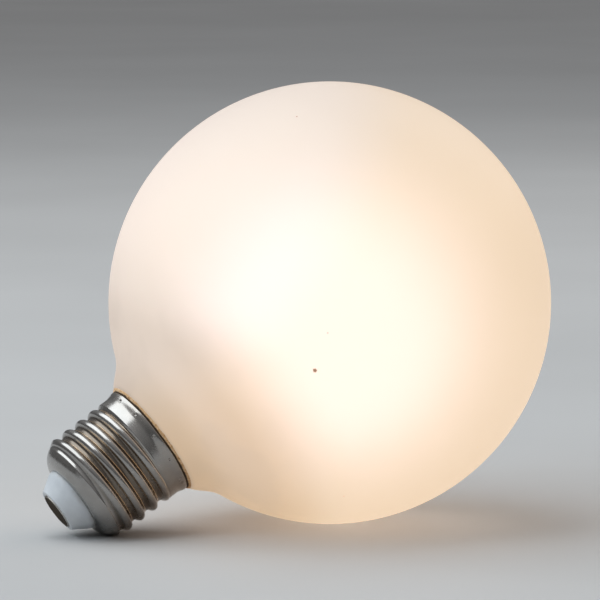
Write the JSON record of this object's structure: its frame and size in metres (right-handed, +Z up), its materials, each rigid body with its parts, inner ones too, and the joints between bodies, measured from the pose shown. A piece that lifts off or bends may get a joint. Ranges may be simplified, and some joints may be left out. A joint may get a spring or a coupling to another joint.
{
  "type": "led globe bulb",
  "caption": "Matt opal glass globe bulb with a short flared neck and a nickel-finish knuckle-thread screw cap with white insulator and centre contact, lying at rest.",
  "frame": {"origin": "on the floor, below the middle of the part's length and width as it lies", "axes": "+X along the length from the cap's end to the globe, +Y across, +Z up; the bulb's own axis lies in the XZ plane and runs down towards -X, 34.18 degrees below the horizontal"},
  "size_m": [0.1178, 0.1, 0.1],
  "materials": {
    "opal_glass": "matt opal white, lit from inside",
    "cap_metal": "polished nickel plate",
    "cement": "tan crumbly cement",
    "insulator": "satin white",
    "contact_metal": "dull metal disc"
  },
  "bodies": {
    "root": {"glass_globe": "opal_glass", "screw_cap": "cap_metal", "cement_ring": "cement", "cap_insulator": "insulator", "centre_contact": "contact_metal"}
  },
  "joints": []
}
